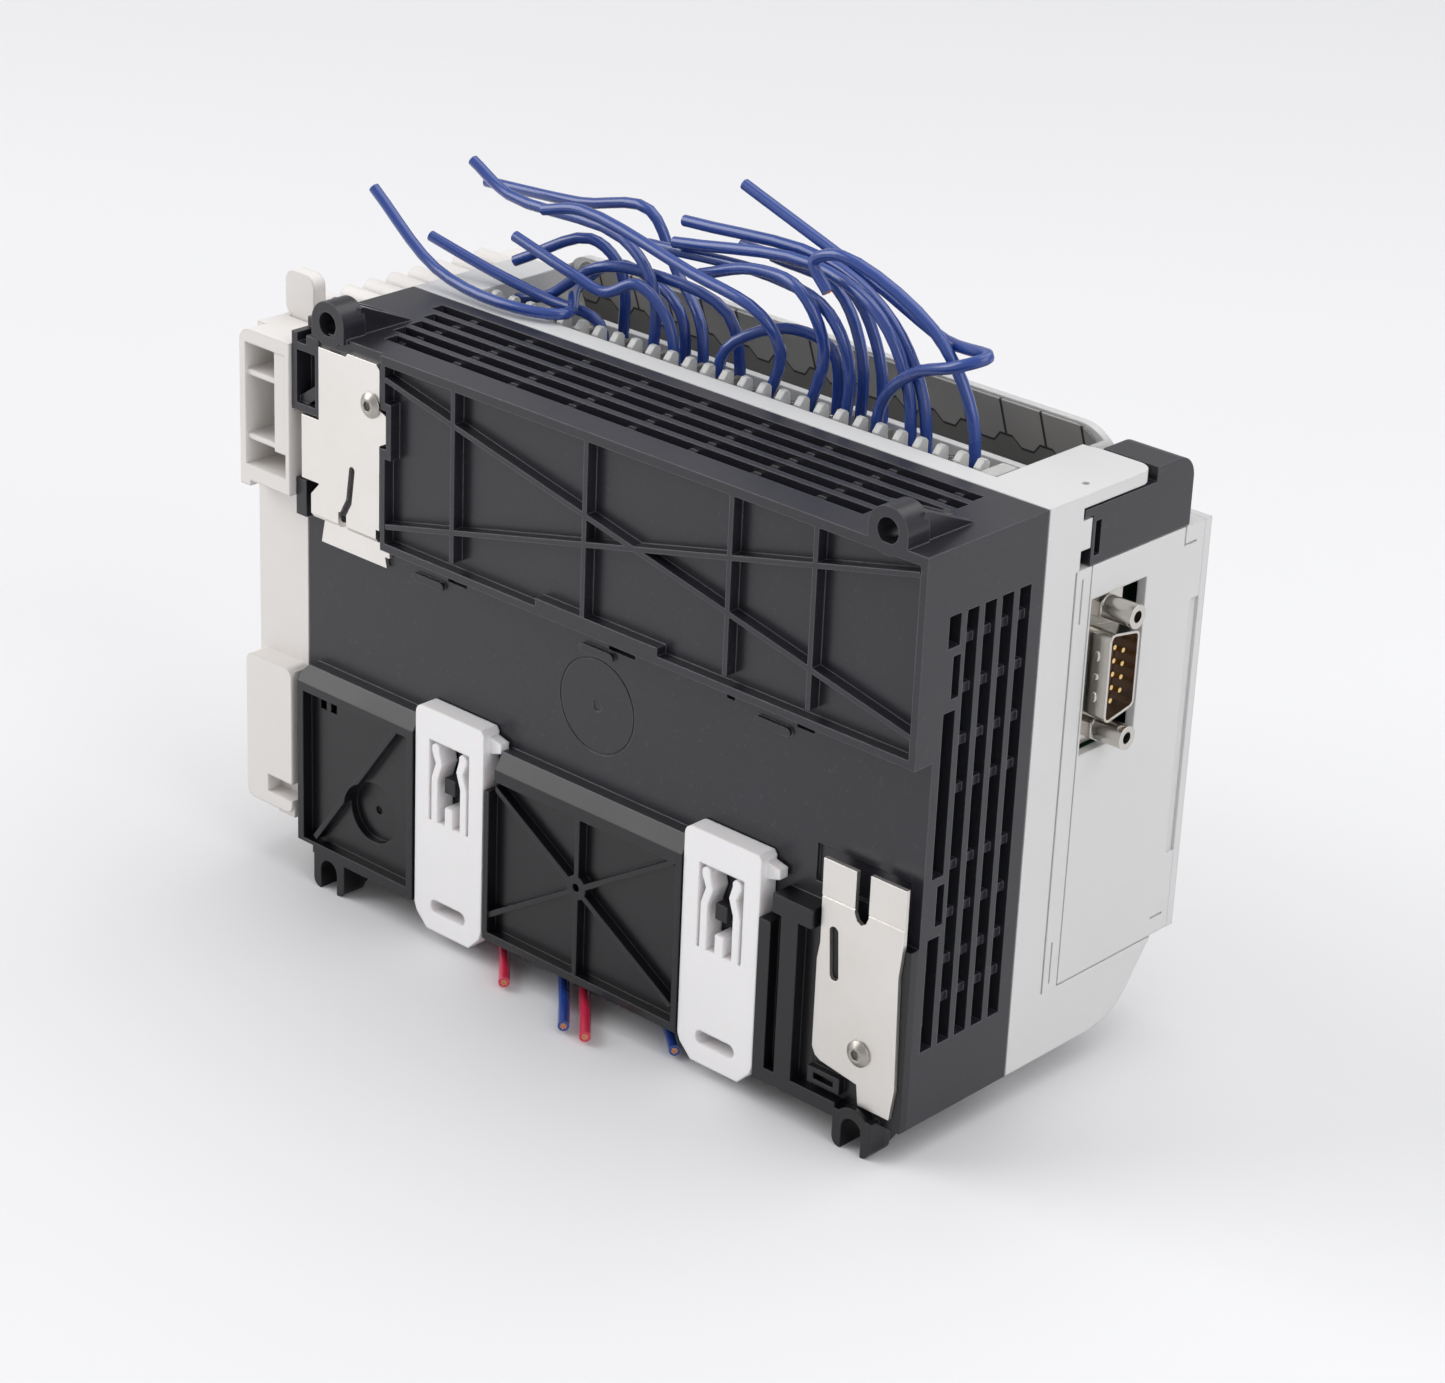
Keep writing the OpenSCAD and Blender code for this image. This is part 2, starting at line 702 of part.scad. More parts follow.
module left_ground_plate() {
    bend = 80.4;
    color("silver") placed() difference() {
        union() {
            depth(0.1, 1) polygon([
                [-75.4, bend], [-75.4, 114.8], [-67.4, 114.8], [-66.8, 115.6], [-58.4, 115.6],
                [-57.4, 114.6], [-57.4, 106.2], [-55.5, 105.4], [-55.5, 99.6], [-57.4, 98.6], [-57.4, bend]
            ]);
            block([-80.6, 0.1, 85.4], [-75.3, 1, 99.1]);
            block([-80.6, 0.1, 85.4], [-79.8, 4.4, 99.1]);
            depth(0.1, 1) polygon([[-77.8, bend], [-77.8, 82.6], [-75.4, 85.2], [-75.4, bend]]);
            width(-77.8, -58.4) polygon([
                [0.1, bend + 0.2], [0.1, 78.4], [0.9, 77.4], [3.9, 76.8], [3.9, 73], [4.8, 73],
                [4.8, 77.6], [1.5, 78.3], [1, 78.9], [1, bend + 0.2]
            ]);
            depth(3.9, 4.8) polygon([[-78.8, 70.7], [-59.2, 70.7], [-60.4, 76], [-77.8, 76]]);
        }
        translate([left_screw[0], -1, left_screw[1]]) rotate([-90, 0, 0]) cylinder(d = 3, h = 4);
        depth(-1, 3) {
            slot([-65.5, 91], [-66.4, 84], 1.7);
            slot([-66.4, 84], [-68.2, 80.8], 1.7);
        }
        block([-69.6, -1, 76], [-67.2, 3, 81]);
    }
}

module right_ground_plate() {
    color("silver") placed() difference() {
        depth(1.5, 2.5) polygon([
            [62.8, 51], [70.9, 51], [70.9, 42.4], [71.5, 41], [72.6, 40.4], [73.7, 41], [74.3, 42.4],
            [74.3, 51.4], [82.9, 51.4], [82.9, 40], [82.2, 33], [82.9, 9.3], [82, 2.7], [74.4, 2.7],
            [73.8, 7], [64.6, 8.4], [63.2, 9.2], [62.4, 10.8], [62.4, 29.7], [63, 33.3]
        ]);
        depth(0, 3) slot([66.2, 36.6], [66.8, 27.6], 2.2);
        block([62, 1, 43], [83.5, 1.7, 43.3]);
        translate([right_screw[0], 0, right_screw[1]]) rotate([-90, 0, 0]) cylinder(d = 3, h = 4);
    }
}

// Button-headed socket screw facing the panel
module plate_screw(spot, head_top) {
    translate([spot[0], head_top, spot[1]]) rotate([-90, 0, 0]) {
        difference() {
            intersection() {
                cylinder(r = 2.7, h = 1.2);
                translate([0, 0, 3.6]) sphere(r = 3.9);
            }
            translate([0, 0, -0.4]) cylinder(d = 2.3, h = 1.3, $fn = 6);
        }
        translate([0, 0, 1]) cylinder(d = 1.9, h = 6);
    }
}

module plate_screws() {
    color("silver") placed() {
        plate_screw(left_screw, -1.1);
        plate_screw(right_screw, 0.3);
    }
}

// D-shaped outline of the nine-pin port, wider side up by amount grow
module port_outline(grow) {
    hull() {
        for (s = [-1, 1]) {
            translate([-3.1, s * 7.6]) circle(r = 1 + grow, $fn = 32);
            translate([3.1, s * 6.5]) circle(r = 1 + grow, $fn = 32);
        }
    }
}

module port_shell() {
    color("silver") placed() translate([0, port_y, port_z]) difference() {
        union() {
            width(81.1, 81.8) difference() {
                translate([-6, -15.4]) square([12, 30.8]);
                for (s = [-1, 1]) translate([0, s * jack_pitch / 2]) circle(d = 3.2);
            }
            width(81.8, 87.6) port_outline(0.5);
        }
        width(80, 89) port_outline(0);
    }
}

module port_insert() {
    color("saddlebrown") placed() translate([0, port_y, port_z]) {
        width(77.4, 82.4) difference() {
            port_outline(-0.1);
            for (spot = port_spots()) translate(spot) circle(d = 1.3, $fn = 24);
        }
        block([74.6, -5, -9], [77.4, 5, 9]);
    }
}

// Places of the nine pins: a row of five beside a row of four
function port_spots() = concat(
    [for (i = [-2:2]) [-1.4, i * 2.76]],
    [for (i = [-1.5:1:1.5]) [1.4, i * 2.76]]
);

module port_pins() {
    color("gold") placed() translate([0, port_y, port_z])
        for (spot = port_spots())
            translate([77.4, spot[0], spot[1]]) rotate([0, 90, 0]) cylinder(d = 1, h = 9, $fn = 24);
}

module port_jackscrews() {
    color("silver") placed() translate([0, port_y, port_z])
        for (s = [-1, 1]) translate([81.8, 0, s * jack_pitch / 2]) rotate([0, 90, 0]) difference() {
            union() {
                cylinder(d = 4.8, h = half_w + jack_reach - 81.8);
                cylinder(d = 6, h = 1.4, $fn = 6);
                translate([0, 0, -5]) cylinder(d = 3, h = 5.2);
            }
            translate([0, 0, 2.4]) cylinder(d = 2.4, h = 8);
        }
}

module power_board() {
    color("darkgreen") placed() {
        block([-78, 10, 8], [78, 11.6, 86]);
        for (x = [-70, 70], z = [14, 80])
            translate([x, rail_floor + wall, z]) rotate([-90, 0, 0]) cylinder(r = 2.6, h = 2.5);
    }
}

module io_board() {
    color("darkgreen") placed() {
        block([-78, 36, 32], [76, 37.6, 86]);
        for (x = [-70, 68], z = [35, 82])
            translate([x, 11.6, z]) rotate([-90, 0, 0]) cylinder(r = 2.6, h = 24.4);
    }
}

module processor_board() {
    color("darkgreen") placed() {
        block([72.8, 50, 20], [74.4, 82, 100]);
        block([74.4, 53, 70], [74.6, 59.6, 90]);
        block([4, 75.4, 38], [67, 77, 81]);
        block([43.4, 77, 61.4], [50.6, 82.2, 76]);
        for (x = dial_x) block([x - 3.2, 77, dial_z - 3.2], [x + 3.2, 80.2, dial_z + 3.2]);
    }
}

module transformer() {
    color("darkslategray") placed() {
        block([-66, 11.6, 40], [-34, 33, 72]);
        block([-62, 11.6, 36], [-38, 30, 40]);
        block([-62, 11.6, 72], [-38, 30, 76]);
    }
}

module capacitors() {
    color("midnightblue") placed() {
        for (x = [-20, -2]) translate([x, 11.6, 62]) rotate([-90, 0, 0]) cylinder(r = 7.5, h = 21);
        for (x = [-18, -6, 6]) translate([x, 37.6, 46]) rotate([-90, 0, 0]) cylinder(r = 4, h = 14);
    }
}

module relays() {
    color("black") placed() {
        for (x = [14:13:53]) block([x, 11.6, 20], [x + 10, 31, 44]);
        for (x = [20:12:56]) block([x, 37.6, 58], [x + 8, 55, 80]);
    }
}

// Open frame at the top of the end cap, facing the panel, with two shelves and a tongue
module cap_frame(inner) {
    depth(0, 14) difference() {
        union() {
            rounded([cap_left, 80], [inner, 113], 3);
            translate([inner - 6, 80]) square([6, 33]);
            translate([cap_left, 78.8]) square([3, 5]);
        }
        translate([cap_left + 1.8, 83.5]) square([inner - cap_left - 1.8 - 1.2, 26.6]);
    }
    for (z = [89, 103]) block([cap_left + 1, 0.6, z], [cap_left + 10.4, 14, z + 1.2]);
    block([inner - 4.7, 0.2, 88.5], [inner, 1.8, 112]);
}

module end_cap() {
    inner = -half_w - 0.3;
    color("whitesmoke") placed() difference() {
        union() {
            difference() {
                block([cap_left, rail_floor, 6], [inner, 80, 113]);
                block([cap_left + 2, rail_floor + wall, 8], [inner - wall, 80 - wall, 111]);
                block([cap_left + 1.8, 4, 83.5], [inner - 1.2, 12, 110.1]);
            }
            cap_frame(inner);
            depth(0, rail_floor + 1) rounded([cap_left + 1, 7], [inner, 40.7], 2);
            depth(0.8, rail_floor + 1) translate([inner - 5, 6]) square([5, 34]);
            for (y = [21.4:6.4:66.2])
                width(cap_left + 2.4, inner - 0.4) translate([y, 114.2]) circle(r = 2.3);
        }
        block([cap_left + 7.6, -1, 10], [inner + 1, 4, 14]);
        block([cap_left + 2, lever_y - 1.9, 105.1], [inner - 1.8, lever_y + 1.9, 118]);
        for (y = [24.6:6.4:63]) block([cap_left + 4, y - 0.6, 110], [inner - 3, y + 0.6, 118]);
    }
}

// Sliding lever that pushes the bus connector home, its rounded tab on top
module bus_lever() {
    tab = cap_left + 0.4;
    color("gainsboro") placed() depth(lever_y - 1.6, lever_y + 1.6) {
        rounded([tab, 113.3], [tab + 8.6, 122.8], 2.4);
        translate([tab + 1.9, 105.4]) square([5.8, 12]);
    }
}

module bus_connector() {
    color("black") placed() {
        block([-92, 44, 60], [-88, 56, 84]);
        for (i = [0:7], y = [47, 53])
            translate([-88, y, 62 + i * 2.8]) rotate([0, 90, 0]) cylinder(r = 0.4, h = 1.2, $fn = 16);
    }
}

module mode_switch() {
    color("black") placed() {
        block([44, 82.6, 66], [50, 83.6, 72]);
        block([46, 83.6, 70], [48, 84.6, 72]);
    }
}

// Screwdriver-adjusted dial behind the access door
module trim_pot(x) {
    color("steelblue") placed() translate([x, 80.6, dial_z]) rotate([-90, 0, 0]) difference() {
        union() {
            cylinder(r = 3, h = 3);
            cylinder(r = 1, h = 3.6);
        }
        translate([-2.4, -0.4, 2.2]) cube([4.8, 0.8, 2]);
    }
}

module left_trim_pot() {
    trim_pot(dial_x[0]);
}

module right_trim_pot() {
    trim_pot(dial_x[1]);
}

module service_port() {
    color("dimgray") placed() translate([16, 0, 46]) rotate([-90, 0, 0]) difference() {
        translate([0, 0, 77]) cylinder(r = 6, h = 9);
        translate([0, 0, 79]) cylinder(r = 4.6, h = 12);
    }
}

rear_housing();
base_cover();
corner_cover();
processor_housing();
processor_front();
access_door();
upper_door();
upper_label();
lower_door();
lower_label();
upper_terminals();
lower_terminals();
clamp_plates();
terminal_screws();
terminal_guards();
left_latch();
right_latch();
left_ground_plate();
right_ground_plate();
plate_screws();
port_shell();
port_insert();
port_pins();
port_jackscrews();
power_board();
io_board();
processor_board();
transformer();
capacitors();
relays();
end_cap();
bus_lever();
bus_connector();
mode_switch();
left_trim_pot();
right_trim_pot();
service_port();
blue_wire(route_a);  // wire_a
blue_wire(route_b);  // wire_b
blue_wire(route_c);  // wire_c
blue_wire(route_d);  // wire_d
blue_wire(route_e);  // wire_e
blue_wire(route_f);  // wire_f
blue_wire(route_g);  // wire_g
blue_wire(route_h);  // wire_h
blue_wire(route_j);  // wire_j
blue_wire(route_k);  // wire_k
blue_wire(route_l);  // wire_l
blue_wire(route_m);  // wire_m
blue_wire(route_n);  // wire_n
blue_wire(route_o);  // wire_o
blue_wire(route_p);  // wire_p
blue_wire(route_q);  // wire_q
blue_wire(route_r);  // wire_r
red_wire(route_lower_a);  // lower_wire_a
blue_wire(route_lower_b);  // lower_wire_b
red_wire(route_lower_c);  // lower_wire_c
blue_wire(route_lower_d);  // lower_wire_d
blue_wire(route_lower_e);  // lower_wire_e
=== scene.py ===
import bmesh
import bpy
import math
from mathutils import Matrix, Vector


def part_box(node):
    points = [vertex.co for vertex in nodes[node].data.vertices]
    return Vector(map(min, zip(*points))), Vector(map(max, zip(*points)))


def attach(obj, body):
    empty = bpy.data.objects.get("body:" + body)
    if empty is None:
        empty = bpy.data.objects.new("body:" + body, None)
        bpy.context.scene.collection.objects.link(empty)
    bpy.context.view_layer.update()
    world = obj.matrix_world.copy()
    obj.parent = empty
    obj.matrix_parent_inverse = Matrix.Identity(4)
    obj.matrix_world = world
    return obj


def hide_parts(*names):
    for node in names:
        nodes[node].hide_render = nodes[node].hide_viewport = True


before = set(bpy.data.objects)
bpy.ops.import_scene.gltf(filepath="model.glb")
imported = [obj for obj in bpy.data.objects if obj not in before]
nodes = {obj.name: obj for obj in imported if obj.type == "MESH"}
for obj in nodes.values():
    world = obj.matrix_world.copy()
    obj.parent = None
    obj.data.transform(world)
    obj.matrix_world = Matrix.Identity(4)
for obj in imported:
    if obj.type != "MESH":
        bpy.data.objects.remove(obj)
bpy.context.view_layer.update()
print("frame loaded:", len(nodes), "parts")

# camera, aimed at the middle of the housing
cameraSetup = {
    "target": (0.01147, -0.00932, 0.06302),
    "distance": 0.762,
    "azimuth": 41.62,
    "elevation": 24.3,
    "roll": 2.5,
    "lens": 94.9,
    "sensor": 36,
    "clip": (0.05, 20),
}


def makeCamera(setup):
    a, e, r = [math.radians(setup[k]) for k in ("azimuth", "elevation", "roll")]
    right = Vector((math.cos(a), math.sin(a), 0))
    back = Vector((math.sin(a) * math.cos(e), -math.cos(a) * math.cos(e), math.sin(e)))
    up = back.cross(right)
    axisX = right * math.cos(r) + up * math.sin(r)
    axisY = up * math.cos(r) - right * math.sin(r)
    bpy.ops.object.camera_add(location=Vector(setup["target"]) + back * setup["distance"])
    cam = bpy.context.object
    cam.name = "camera"
    cam.rotation_mode = "QUATERNION"
    cam.rotation_quaternion = Matrix((axisX, axisY, back)).transposed().to_quaternion()
    cam.data.lens = setup["lens"]
    cam.data.sensor_width = setup["sensor"]
    cam.data.clip_start, cam.data.clip_end = setup["clip"]
    bpy.context.scene.camera = cam


makeCamera(cameraSetup)


def clearSelection():
    if bpy.context.object and bpy.context.object.mode != "OBJECT":
        bpy.ops.object.mode_set(mode="OBJECT")
    bpy.ops.object.select_all(action="DESELECT")


# shader building blocks shared by the materials

def newGroup(name, inputs, outputs):
    group = bpy.data.node_groups.new(name, "ShaderNodeTree")
    for label, kind, value in inputs:
        socket = group.interface.new_socket(label, in_out="INPUT", socket_type=kind)
        if value is not None:
            socket.default_value = value
    for label, kind in outputs:
        group.interface.new_socket(label, in_out="OUTPUT", socket_type=kind)
    start = group.nodes.new("NodeGroupInput")
    end = group.nodes.new("NodeGroupOutput")
    return group, start, end


def addNode(tree, kind, **values):
    node = tree.nodes.new(kind)
    for key, value in values.items():
        setattr(node, key, value)
    return node


def mathNode(tree, operation, a, b=None, clamp=False):
    node = addNode(tree, "ShaderNodeMath", operation=operation, use_clamp=clamp)
    for i, value in enumerate((a, b)):
        if value is None:
            continue
        if isinstance(value, (int, float)):
            node.inputs[i].default_value = value
        else:
            tree.links.new(value, node.inputs[i])
    return node.outputs[0]


def noise(tree, vector, scale, detail=2, rough=0.5):
    node = addNode(tree, "ShaderNodeTexNoise")
    node.inputs["Scale"].default_value = scale
    node.inputs["Detail"].default_value = detail
    node.inputs["Roughness"].default_value = rough
    tree.links.new(vector, node.inputs["Vector"])
    return node.outputs["Fac"]


surfaceSettings = {
    "scuffAndHighlightGain": 7,
    "scuffAndHighlightPatch": 130,
    "smudgeScale": 38,
    "dustScale": 900,
    "dustLevel": 0.62,
    "dustGain": 6,
    "grainHeight": 0.00006,
    "dustColor": (0.6, 0.59, 0.57),
    "brushScale": 260,
}


def makeSurfaceGroup(setup):
    # moulded grain, smudges and softened edges; the edges are lightened, partly as scuffing and partly
    # as a painted edge highlight
    group, start, end = newGroup(
        "mouldedSurface",
        [("Vector", "NodeSocketVector", None), ("Edge", "NodeSocketFloat", 0.0004),
         ("Grain", "NodeSocketFloat", 0.2), ("Scale", "NodeSocketFloat", 2600.0)],
        [("ScuffAndHighlight", "NodeSocketFloat"), ("Smudge", "NodeSocketFloat"), ("Dust", "NodeSocketFloat"),
         ("Normal", "NodeSocketVector")],
    )
    link = group.links.new
    bevel = addNode(group, "ShaderNodeBevel", samples=4)
    link(start.outputs["Edge"], bevel.inputs["Radius"])
    shape = addNode(group, "ShaderNodeNewGeometry")
    along = addNode(group, "ShaderNodeVectorMath", operation="DOT_PRODUCT")
    link(bevel.outputs["Normal"], along.inputs[0])
    link(shape.outputs["Normal"], along.inputs[1])
    bent = mathNode(group, "SUBTRACT", 1, along.outputs["Value"])
    patch = noise(group, start.outputs["Vector"], setup["scuffAndHighlightPatch"], 3, 0.6)
    # edge mask: partly scuffing, partly painted edge highlight
    scuffedAndLit = mathNode(group, "MULTIPLY", bent, setup["scuffAndHighlightGain"], True)
    scuffAndHighlightMask = mathNode(group, "MULTIPLY", scuffedAndLit, patch, True)
    link(scuffAndHighlightMask, end.inputs["ScuffAndHighlight"])
    smudge = noise(group, start.outputs["Vector"], setup["smudgeScale"], 4, 0.6)
    link(smudge, end.inputs["Smudge"])
    speck = noise(group, start.outputs["Vector"], setup["dustScale"], 2, 0.7)
    settled = mathNode(group, "SUBTRACT", speck, setup["dustLevel"], True)
    dust = mathNode(group, "MULTIPLY", settled, setup["dustGain"], True)
    link(dust, end.inputs["Dust"])
    grain = addNode(group, "ShaderNodeTexNoise")
    grain.inputs["Detail"].default_value = 2
    link(start.outputs["Vector"], grain.inputs["Vector"])
    link(start.outputs["Scale"], grain.inputs["Scale"])
    bump = addNode(group, "ShaderNodeBump")
    bump.inputs["Distance"].default_value = setup["grainHeight"]
    link(start.outputs["Grain"], bump.inputs["Strength"])
    link(grain.outputs["Fac"], bump.inputs["Height"])
    link(bevel.outputs["Normal"], bump.inputs["Normal"])
    link(bump.outputs["Normal"], end.inputs["Normal"])
    return group


surfaceGroup = makeSurfaceGroup(surfaceSettings)


def newMaterial(name):
    material = bpy.data.materials.new(name)
    material.use_nodes = True
    tree = material.node_tree
    shader = tree.nodes["Principled BSDF"]
    where = addNode(tree, "ShaderNodeTexCoord").outputs["Object"]
    return material, tree, shader, where


def mixColor(tree, factor, a, b):
    node = addNode(tree, "ShaderNodeMix", data_type="RGBA")
    for socket, value in ((node.inputs[0], factor), (node.inputs[6], a), (node.inputs[7], b)):
        if isinstance(value, tuple):
            socket.default_value = (*value, 1)
        elif isinstance(value, (int, float)):
            socket.default_value = value
        else:
            tree.links.new(value, socket)
    return node.outputs[2]


def useSurface(tree, where, finish):
    group = addNode(tree, "ShaderNodeGroup", node_tree=surfaceGroup)
    tree.links.new(where, group.inputs["Vector"])
    group.inputs["Edge"].default_value = finish["edge"]
    group.inputs["Grain"].default_value = finish["grain"]
    group.inputs["Scale"].default_value = finish["scale"]
    return group.outputs


def setRoughness(tree, shader, pattern, span):
    # the pattern carries the roughness from the low end of its span to the high end
    low, high = span
    rough = mathNode(tree, "MULTIPLY_ADD", pattern, high - low)
    rough.node.inputs[2].default_value = low
    tree.links.new(rough, shader.inputs["Roughness"])


def plastic(name, finish):
    material, tree, shader, where = newMaterial(name)
    surface = useSurface(tree, where, finish)
    aged = mixColor(tree, surface["Smudge"], finish["color"], finish["aged"])
    # edges lightened: partly scuffing, partly painted edge highlight
    scuffedAndLit = mixColor(tree, surface["ScuffAndHighlight"], aged, finish["scuffAndHighlightColor"])
    dusty = mathNode(tree, "MULTIPLY", surface["Dust"], finish["dust"])
    tinted = mixColor(tree, dusty, scuffedAndLit, surfaceSettings["dustColor"])
    tree.links.new(tinted, shader.inputs["Base Color"])
    setRoughness(tree, shader, surface["Smudge"], finish["rough"])
    tree.links.new(surface["Normal"], shader.inputs["Normal"])
    shader.inputs["Coat Weight"].default_value = finish.get("coat", 0)
    shader.inputs["Coat Roughness"].default_value = 0.2
    shader.inputs["Subsurface Weight"].default_value = finish.get("glow", 0)
    shader.inputs["Subsurface Scale"].default_value = 0.002
    return material


def metal(name, finish):
    material, tree, shader, where = newMaterial(name)
    surface = useSurface(tree, where, finish)
    stretch = addNode(tree, "ShaderNodeMapping")
    stretch.inputs["Scale"].default_value = finish["brush"]
    tree.links.new(where, stretch.inputs["Vector"])
    lines = noise(tree, stretch.outputs["Vector"], surfaceSettings["brushScale"], 4, 0.7)
    stain = mixColor(tree, surface["Smudge"], finish["color"], finish["aged"])
    # edges lightened: partly scuffing, partly painted edge highlight
    tree.links.new(mixColor(tree, surface["ScuffAndHighlight"], stain, finish["scuffAndHighlightColor"]), shader.inputs["Base Color"])
    setRoughness(tree, shader, lines, finish["rough"])
    tree.links.new(surface["Normal"], shader.inputs["Normal"])
    shader.inputs["Metallic"].default_value = 1
    return material


def clear(name, finish):
    material, tree, shader, where = newMaterial(name)
    surface = useSurface(tree, where, finish)
    tint = mixColor(tree, surface["Smudge"], finish["color"], finish["aged"])
    tree.links.new(tint, shader.inputs["Base Color"])
    shader.inputs["Roughness"].default_value = finish["rough"]
    shader.inputs["IOR"].default_value = 1.49
    shader.inputs["Transmission Weight"].default_value = finish["clear"]
    tree.links.new(surface["Normal"], shader.inputs["Normal"])
    return material


# each finish's light edge colour stands partly for scuffing and partly for a painted edge highlight
finishes = {
    "blackPlastic": plastic("blackPlastic", {
        "color": (0.013, 0.013, 0.0175), "aged": (0.022, 0.0215, 0.0275), "scuffAndHighlightColor": (0.20, 0.195, 0.215),
        "rough": (0.24, 0.38), "grain": 0.22, "scale": 2600, "edge": 0.00035, "dust": 0.04}),
    "lightPlastic": plastic("lightPlastic", {
        "color": (0.63, 0.63, 0.63), "aged": (0.59, 0.59, 0.585), "scuffAndHighlightColor": (0.72, 0.72, 0.71),
        "rough": (0.40, 0.55), "grain": 0.18, "scale": 2400, "edge": 0.0005, "dust": 0.05}),
    "warmPlastic": plastic("warmPlastic", {
        "color": (0.77, 0.742, 0.716), "aged": (0.72, 0.692, 0.664), "scuffAndHighlightColor": (0.80, 0.78, 0.76),
        "rough": (0.42, 0.56), "grain": 0.18, "scale": 2400, "edge": 0.0006, "dust": 0.05}),
    "whitePlastic": plastic("whitePlastic", {
        "color": (0.89, 0.875, 0.88), "aged": (0.85, 0.835, 0.84), "scuffAndHighlightColor": (0.93, 0.92, 0.92),
        "rough": (0.32, 0.45), "grain": 0.08, "scale": 1800, "edge": 0.0006, "dust": 0.03,
        "glow": 0.15}),
    "terminalPlastic": plastic("terminalPlastic", {
        "color": (0.13, 0.122, 0.114), "aged": (0.17, 0.16, 0.15), "scuffAndHighlightColor": (0.3, 0.3, 0.3),
        "rough": (0.4, 0.55), "grain": 0.15, "scale": 2400, "edge": 0.0003, "dust": 0.4}),
    "brownPlastic": plastic("brownPlastic", {
        "color": (0.07, 0.032, 0.018), "aged": (0.09, 0.042, 0.024), "scuffAndHighlightColor": (0.1, 0.07, 0.06),
        "rough": (0.3, 0.45), "grain": 0.1, "scale": 3000, "edge": 0.0002, "dust": 0.05}),
    "bluePlastic": plastic("bluePlastic", {
        "color": (0.03, 0.10, 0.33), "aged": (0.04, 0.12, 0.36), "scuffAndHighlightColor": (0.2, 0.3, 0.5),
        "rough": (0.3, 0.4), "grain": 0.08, "scale": 3000, "edge": 0.0002, "dust": 0.02}),
    "sleevePlastic": plastic("sleevePlastic", {
        "color": (0.012, 0.018, 0.05), "aged": (0.02, 0.025, 0.06), "scuffAndHighlightColor": (0.1, 0.1, 0.15),
        "rough": (0.2, 0.35), "grain": 0.05, "scale": 2000, "edge": 0.0003, "dust": 0.1}),
    "solderMask": plastic("solderMask", {
        "color": (0.01, 0.07, 0.035), "aged": (0.015, 0.09, 0.045), "scuffAndHighlightColor": (0.3, 0.28, 0.2),
        "rough": (0.25, 0.4), "grain": 0.2, "scale": 1200, "edge": 0.0002, "dust": 0.15}),
    "coreSteel": plastic("coreSteel", {
        "color": (0.07, 0.065, 0.06), "aged": (0.10, 0.08, 0.06), "scuffAndHighlightColor": (0.2, 0.19, 0.18),
        "rough": (0.35, 0.6), "grain": 0.3, "scale": 1500, "edge": 0.0003, "dust": 0.1}),
    "blueInsulation": plastic("blueInsulation", {
        "color": (0.010, 0.042, 0.23), "aged": (0.016, 0.056, 0.28), "scuffAndHighlightColor": (0.06, 0.13, 0.40),
        "rough": (0.20, 0.34), "grain": 0.1, "scale": 1500, "edge": 0.0001, "dust": 0.04,
        "coat": 0.6}),
    "redInsulation": plastic("redInsulation", {
        "color": (0.55, 0.018, 0.06), "aged": (0.62, 0.03, 0.08), "scuffAndHighlightColor": (0.7, 0.15, 0.2),
        "rough": (0.20, 0.34), "grain": 0.1, "scale": 1500, "edge": 0.0001, "dust": 0.04,
        "coat": 0.6}),
    "nickel": metal("nickel", {
        "color": (0.66, 0.64, 0.61), "aged": (0.55, 0.52, 0.47), "scuffAndHighlightColor": (0.88, 0.86, 0.83),
        "rough": (0.14, 0.30), "grain": 0.12, "scale": 900, "edge": 0.0002, "brush": (1, 1, 0.15)}),
    "plateSteel": metal("plateSteel", {
        "color": (0.86, 0.835, 0.805), "aged": (0.74, 0.705, 0.66), "scuffAndHighlightColor": (0.94, 0.93, 0.91),
        "rough": (0.34, 0.44), "grain": 0.14, "scale": 700, "edge": 0.0002, "brush": (1, 1, 0.5)}),
    "screwSteel": metal("screwSteel", {
        "color": (0.46, 0.44, 0.41), "aged": (0.36, 0.34, 0.31), "scuffAndHighlightColor": (0.70, 0.68, 0.65),
        "rough": (0.26, 0.42), "grain": 0.2, "scale": 900, "edge": 0.0002, "brush": (1, 1, 1)}),
    "gold": metal("gold", {
        "color": (0.86, 0.62, 0.26), "aged": (0.75, 0.50, 0.20), "scuffAndHighlightColor": (0.95, 0.8, 0.5),
        "rough": (0.15, 0.3), "grain": 0.05, "scale": 2000, "edge": 0.0001, "brush": (0.2, 1, 1)}),
    "copper": metal("copper", {
        "color": (0.80, 0.36, 0.19), "aged": (0.60, 0.25, 0.13), "scuffAndHighlightColor": (0.95, 0.6, 0.4),
        "rough": (0.22, 0.42), "grain": 0.1, "scale": 3000, "edge": 0.0001, "brush": (1, 1, 0.2)}),
    "doorPlastic": clear("doorPlastic", {
        "color": (0.84, 0.84, 0.83), "aged": (0.79, 0.79, 0.78), "rough": 0.38, "clear": 0.35,
        "grain": 0.2, "scale": 900, "edge": 0.0005}),
    "clearPlastic": clear("clearPlastic", {
        "color": (0.95, 0.95, 0.93), "aged": (0.88, 0.88, 0.85), "rough": 0.22, "clear": 0.55,
        "grain": 0.2, "scale": 500, "edge": 0.0004}),
}


